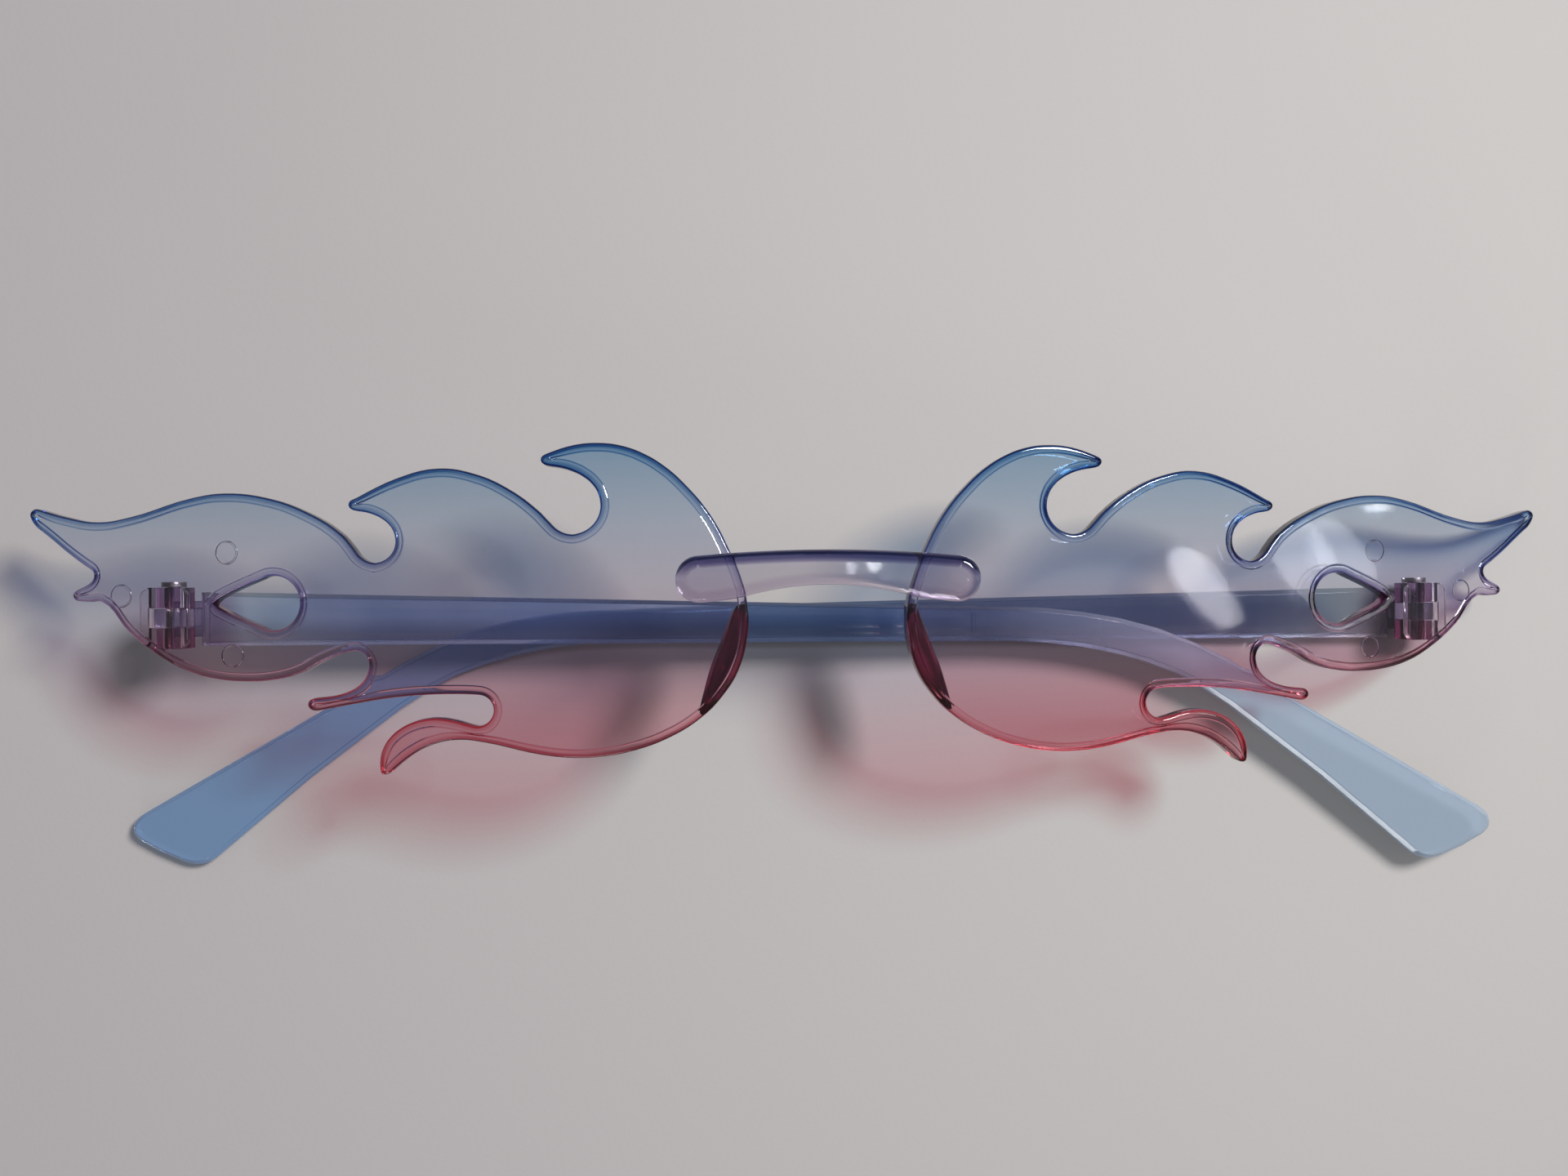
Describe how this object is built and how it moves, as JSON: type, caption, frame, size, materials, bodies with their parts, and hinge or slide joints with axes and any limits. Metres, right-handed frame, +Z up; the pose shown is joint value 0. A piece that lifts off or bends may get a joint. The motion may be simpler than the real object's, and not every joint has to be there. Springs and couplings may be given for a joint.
{
  "type": "rimless sunglasses",
  "caption": "Rimless sunglasses with flame-shaped tinted lenses, a raised clear bridge, moulded nose pads and folding temples on screwed hinges.",
  "frame": {"origin": "on the table that the outer temple lies on, under the middle of the bridge and level with the hinges", "axes": "+X along the front towards the lens on the right of the picture, +Y up the wearer's face, +Z up from the table towards a viewer in front of the glasses"},
  "size_m": [0.1577, 0.0434, 0.0206],
  "materials": {
    "lens_tint": "gloss, dyed blue at the top to pink at the bottom",
    "bridge_clear": "gloss, colourless",
    "pad_burgundy": "gloss, deep red",
    "hinge_tint": "gloss, violet tint",
    "screw_steel": "plain",
    "temple_blue": "gloss, translucent steel blue"
  },
  "bodies": {
    "front": {"lens_left": "lens_tint", "lens_right": "lens_tint", "bridge": "bridge_clear", "nose_pad_left": "pad_burgundy", "nose_pad_right": "pad_burgundy", "hinge_block_left": "hinge_tint", "hinge_block_right": "hinge_tint", "hinge_screw_left": "screw_steel", "hinge_screw_right": "screw_steel"},
    "temple_left": {"temple_left": "temple_blue"},
    "temple_right": {"temple_right": "temple_blue"}
  },
  "joints": [
    {"name": "temple_left_hinge", "type": "hinge", "parent": "front", "child": "temple_left", "pos_m": [-0.06501, 0, 0.00975], "axis": [0, 1, 0], "range_deg": [0, 95.8]},
    {"name": "temple_right_hinge", "type": "hinge", "parent": "front", "child": "temple_right", "pos_m": [0.06381, 0, 0.003], "axis": [0, -1, 0], "range_deg": [0, 92]}
  ]
}
